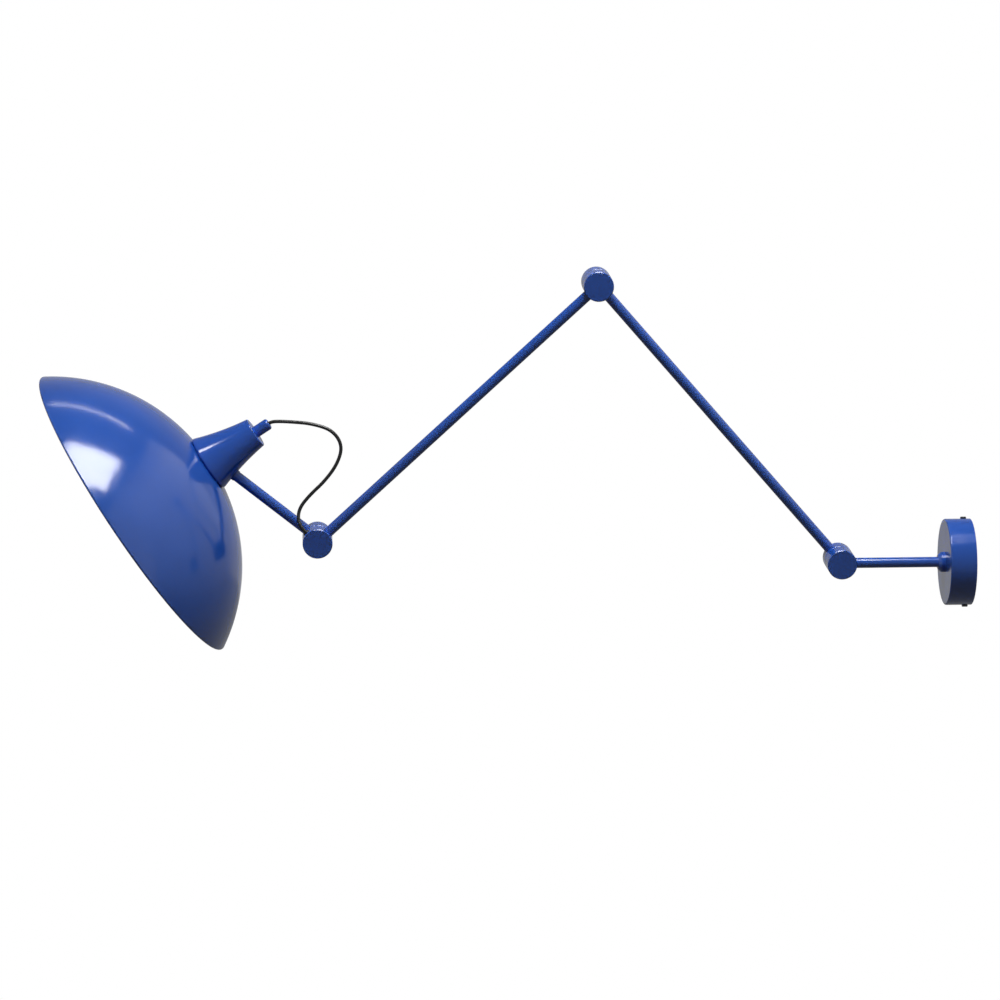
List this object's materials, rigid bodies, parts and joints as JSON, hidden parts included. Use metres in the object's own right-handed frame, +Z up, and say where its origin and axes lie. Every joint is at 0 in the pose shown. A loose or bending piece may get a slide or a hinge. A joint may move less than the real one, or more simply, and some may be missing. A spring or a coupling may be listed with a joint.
{
  "type": "articulating wall lamp",
  "caption": "Wall lamp with a dome shade on a jointed tubular arm: barrel knuckles fold the arm, a hub swings it, a boss turns the head; the cord loops past the last knuckle.",
  "frame": {"origin": "centre of the wall bracket's two screw slots, on the wall", "axes": "+X into the wall, along the wall tube; +Z up; the lamp reaches out along -X and its arms move in the X-Z plane"},
  "size_m": [0.9523, 0.3327, 0.3886],
  "materials": {
    "blue_paint": "gloss cobalt-blue paint",
    "black_steel": "satin black",
    "zinc_steel": "bright zinc plate",
    "brass": "drawn brass",
    "black_cord": "smooth black sheath",
    "friction_fibre": "pressed fibre",
    "black_moulding": "moulded",
    "white_moulding": "moulded",
    "ceramic": "fired, unglazed",
    "opal_glass": "opal"
  },
  "bodies": {
    "wall_plate": {"wall_bracket": "zinc_steel", "wall_cover": "blue_paint", "cover_screws": "black_steel", "hub_collar": "blue_paint", "hub_nut": "zinc_steel", "terminal_block": "white_moulding", "terminal_clamps": "brass", "earth_screw": "brass", "supply_lead": "black_cord"},
    "wall_arm": {"wall_tube": "blue_paint", "swivel_friction_washer": "friction_fibre", "swivel_ring": "brass", "swivel_grub_screw": "black_steel", "wall_knuckle_front_half": "blue_paint", "wall_knuckle_cap": "blue_paint", "wall_pivot_bolt": "zinc_steel", "wall_pivot_nut": "zinc_steel", "wall_spring_washer": "zinc_steel", "wall_friction_disc": "friction_fibre", "cable_wall_tube": "black_cord"},
    "rear_arm": {"wall_knuckle_rear_half": "blue_paint", "elbow_rear_half": "blue_paint", "rear_arm_caps": "blue_paint", "rear_arm_tube": "blue_paint", "cable_rear_arm": "black_cord"},
    "front_arm": {"elbow_front_half": "blue_paint", "head_knuckle_front_half": "blue_paint", "front_arm_caps": "blue_paint", "front_arm_pivot_bolts": "zinc_steel", "front_arm_pivot_nuts": "zinc_steel", "front_arm_spring_washers": "zinc_steel", "front_arm_friction_discs": "friction_fibre", "front_arm_tube": "blue_paint", "cable_front_arm": "black_cord", "cord_grommet": "black_moulding", "cord_lower": "black_cord"},
    "short_arm": {"head_knuckle_rear_half": "blue_paint", "head_knuckle_cap": "blue_paint", "short_arm_tube": "blue_paint", "swivel_pin": "zinc_steel", "swivel_spring_washer": "zinc_steel", "swivel_nut": "zinc_steel"},
    "head": {"shade": "blue_paint", "cup": "blue_paint", "swivel_boss": "blue_paint", "swivel_saddle": "zinc_steel", "cord_grip": "blue_paint", "threaded_nipple": "zinc_steel", "lampholder_cap": "black_moulding", "lampholder_body": "black_moulding", "lampholder_core": "ceramic", "socket_shell": "brass", "centre_contact": "brass", "shade_ring": "black_moulding", "bulb_cap": "zinc_steel", "bulb_glass": "opal_glass", "lampholder_cable": "black_cord", "cord_upper": "black_cord"}
  },
  "joints": [
    {"name": "hub_swivel", "type": "hinge", "parent": "wall_plate", "child": "wall_arm", "pos_m": [0, 0, 0], "axis": [1, 0, 0], "range_deg": [-90, 90]},
    {"name": "wall_knuckle", "type": "hinge", "parent": "wall_arm", "child": "rear_arm", "pos_m": [-0.1336, 0, 0], "axis": [0, -1, 0], "range_deg": [-50, 90]},
    {"name": "elbow", "type": "hinge", "parent": "rear_arm", "child": "front_arm", "pos_m": [-0.38612, 0, 0.29049], "axis": [0, -1, 0], "range_deg": [-85, 50]},
    {"name": "head_tilt", "type": "hinge", "parent": "front_arm", "child": "short_arm", "pos_m": [-0.67233, 0, 0.02822], "axis": [0, -1, 0], "range_deg": [-50, 60], "deforming": ["cord_lower"]},
    {"name": "head_swivel", "type": "hinge", "parent": "short_arm", "child": "head", "pos_m": [-0.67233, 0.02, 0.02822], "axis": [-0.7804, 0, 0.6252], "range_deg": [-90, 90], "deforming": ["cord_upper"]}
  ]
}
